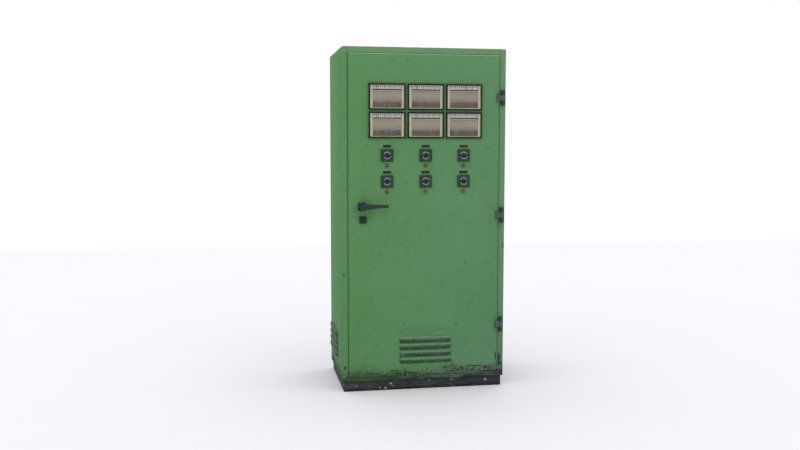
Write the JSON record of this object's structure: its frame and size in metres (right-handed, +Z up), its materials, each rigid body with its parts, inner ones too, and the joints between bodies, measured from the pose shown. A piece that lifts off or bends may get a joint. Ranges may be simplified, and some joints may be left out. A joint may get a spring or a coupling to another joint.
{
  "type": "electrical control cabinet",
  "caption": "Free-standing sheet-steel control cabinet on a plinth, with one hinged door carrying strip meters, cam switches, pilot lamps, a lever latch and a vent.",
  "frame": {"origin": "floor level, under the middle of the whole outline, from the lever's face to the rear panel", "axes": "+Z up, the door faces -Y, +X to the viewer's right when facing the door"},
  "size_m": [0.818, 0.55, 1.65],
  "materials": {
    "green_paint": "satin",
    "plinth_paint": "matte",
    "zinc": "satin",
    "hinge_iron": "matte",
    "black_metal": "satin",
    "steel": "satin",
    "black_plastic": "satin",
    "switch_plastic": "satin",
    "meter_housing": "satin",
    "pointer": "matte",
    "red_lens": "gloss",
    "gasket_rubber": "matte",
    "grey_plastic": "matte",
    "cream_plastic": "matte",
    "laminations": "matte"
  },
  "bodies": {
    "cabinet": {"plinth": "plinth_paint", "floor_panel": "green_paint", "gland_plate": "zinc", "left_side_panel": "green_paint", "right_side_panel": "green_paint", "roof_panel": "green_paint", "rear_panel": "green_paint", "front_frame": "green_paint", "hinge_frame_leaf_1": "hinge_iron", "hinge_frame_leaf_2": "hinge_iron", "hinge_frame_leaf_3": "hinge_iron", "mounting_plate": "zinc", "mounting_rail": "steel", "terminal_row": "grey_plastic", "wiring_duct": "grey_plastic", "breaker": "black_plastic", "transformer": "laminations"},
    "door": {"door_panel": "green_paint", "door_gasket": "gasket_rubber", "hinge_door_leaf_1": "hinge_iron", "hinge_door_leaf_2": "hinge_iron", "hinge_door_leaf_3": "hinge_iron", "handle_boss": "black_metal", "latch_housing": "zinc", "lock_body": "black_metal", "meter_case_1": "meter_housing", "switch_body_1": "switch_plastic", "lamp_1": "red_lens", "meter_case_2": "meter_housing", "switch_body_2": "switch_plastic", "lamp_2": "red_lens", "meter_case_3": "meter_housing", "switch_body_3": "switch_plastic", "lamp_3": "red_lens", "meter_case_4": "meter_housing", "switch_body_4": "switch_plastic", "lamp_4": "red_lens", "meter_case_5": "meter_housing", "switch_body_5": "switch_plastic", "lamp_5": "red_lens", "meter_case_6": "meter_housing", "switch_body_6": "switch_plastic", "lamp_6": "red_lens"},
    "pointer_1": {"meter_pointer_1": "pointer"},
    "pointer_2": {"meter_pointer_2": "pointer"},
    "pointer_3": {"meter_pointer_3": "pointer"},
    "pointer_4": {"meter_pointer_4": "pointer"},
    "pointer_5": {"meter_pointer_5": "pointer"},
    "pointer_6": {"meter_pointer_6": "pointer"},
    "knob_1": {"switch_knob_1": "black_plastic"},
    "knob_2": {"switch_knob_2": "black_plastic"},
    "knob_3": {"switch_knob_3": "black_plastic"},
    "knob_4": {"switch_knob_4": "black_plastic"},
    "knob_5": {"switch_knob_5": "black_plastic"},
    "knob_6": {"switch_knob_6": "black_plastic"},
    "lever": {"handle_lever": "black_metal"},
    "upper_rod": {"upper_rod": "steel"},
    "lower_rod": {"lower_rod": "steel"},
    "lock_cam": {"lock_cam": "steel"},
    "breaker_toggle": {"breaker_toggle": "cream_plastic"}
  },
  "joints": [
    {"name": "door_hinge", "type": "hinge", "parent": "cabinet", "child": "door", "pos_m": [0.385, -0.235, 0.85], "axis": [0, 0, 1], "range_deg": [0, 120]},
    {"name": "pointer_1_travel", "type": "slide", "parent": "door", "child": "pointer_1", "axis": [1, 0, 0], "range_m": [-0.01485, 0.12015]},
    {"name": "pointer_2_travel", "type": "slide", "parent": "door", "child": "pointer_2", "axis": [1, 0, 0], "range_m": [-0.0216, 0.1134]},
    {"name": "pointer_3_travel", "type": "slide", "parent": "door", "child": "pointer_3", "axis": [1, 0, 0], "range_m": [-0.07425, 0.06075]},
    {"name": "pointer_4_travel", "type": "slide", "parent": "door", "child": "pointer_4", "axis": [1, 0, 0], "range_m": [-0.0162, 0.1188]},
    {"name": "pointer_5_travel", "type": "slide", "parent": "door", "child": "pointer_5", "axis": [1, 0, 0], "range_m": [-0.01958, 0.11542]},
    {"name": "pointer_6_travel", "type": "slide", "parent": "door", "child": "pointer_6", "axis": [1, 0, 0], "range_m": [-0.12555, 0.00945]},
    {"name": "knob_1_turn", "type": "hinge", "parent": "door", "child": "knob_1", "pos_m": [-0.182, -0.24, 1.14], "axis": [0, -1, 0], "range_deg": [-45, 45]},
    {"name": "knob_2_turn", "type": "hinge", "parent": "door", "child": "knob_2", "pos_m": [0.005, -0.24, 1.14], "axis": [0, -1, 0], "range_deg": [-45, 45]},
    {"name": "knob_3_turn", "type": "hinge", "parent": "door", "child": "knob_3", "pos_m": [0.192, -0.24, 1.14], "axis": [0, -1, 0], "range_deg": [-45, 45]},
    {"name": "knob_4_turn", "type": "hinge", "parent": "door", "child": "knob_4", "pos_m": [-0.182, -0.24, 1.016], "axis": [0, -1, 0], "range_deg": [-45, 45]},
    {"name": "knob_5_turn", "type": "hinge", "parent": "door", "child": "knob_5", "pos_m": [0.005, -0.24, 1.016], "axis": [0, -1, 0], "range_deg": [-45, 45]},
    {"name": "knob_6_turn", "type": "hinge", "parent": "door", "child": "knob_6", "pos_m": [0.192, -0.24, 1.016], "axis": [0, -1, 0], "range_deg": [-45, 45]},
    {"name": "lever_turn", "type": "hinge", "parent": "door", "child": "lever", "pos_m": [-0.303, -0.255, 0.897], "axis": [0, -1, 0], "range_deg": [0, 90]},
    {"name": "upper_rod_slide", "type": "slide", "parent": "door", "child": "upper_rod", "axis": [0, 0, 1], "range_m": [0, 0.01885]},
    {"name": "lower_rod_slide", "type": "slide", "parent": "door", "child": "lower_rod", "axis": [0, 0, -1], "range_m": [0, 0.01885]},
    {"name": "lock_turn", "type": "hinge", "parent": "door", "child": "lock_cam", "pos_m": [-0.298, -0.225, 0.834], "axis": [0, 1, 0], "range_deg": [0, 90]},
    {"name": "breaker_toggle_turn", "type": "hinge", "parent": "cabinet", "child": "breaker_toggle", "pos_m": [-0.175, 0.1377, 1.27], "axis": [-1, 0, 0], "range_deg": [0, 30]}
  ],
  "couplings": [
    {"joint": "upper_rod_slide", "follows": "lever_turn", "m_per_rad": 0.012},
    {"joint": "lower_rod_slide", "follows": "lever_turn", "m_per_rad": 0.012}
  ]
}
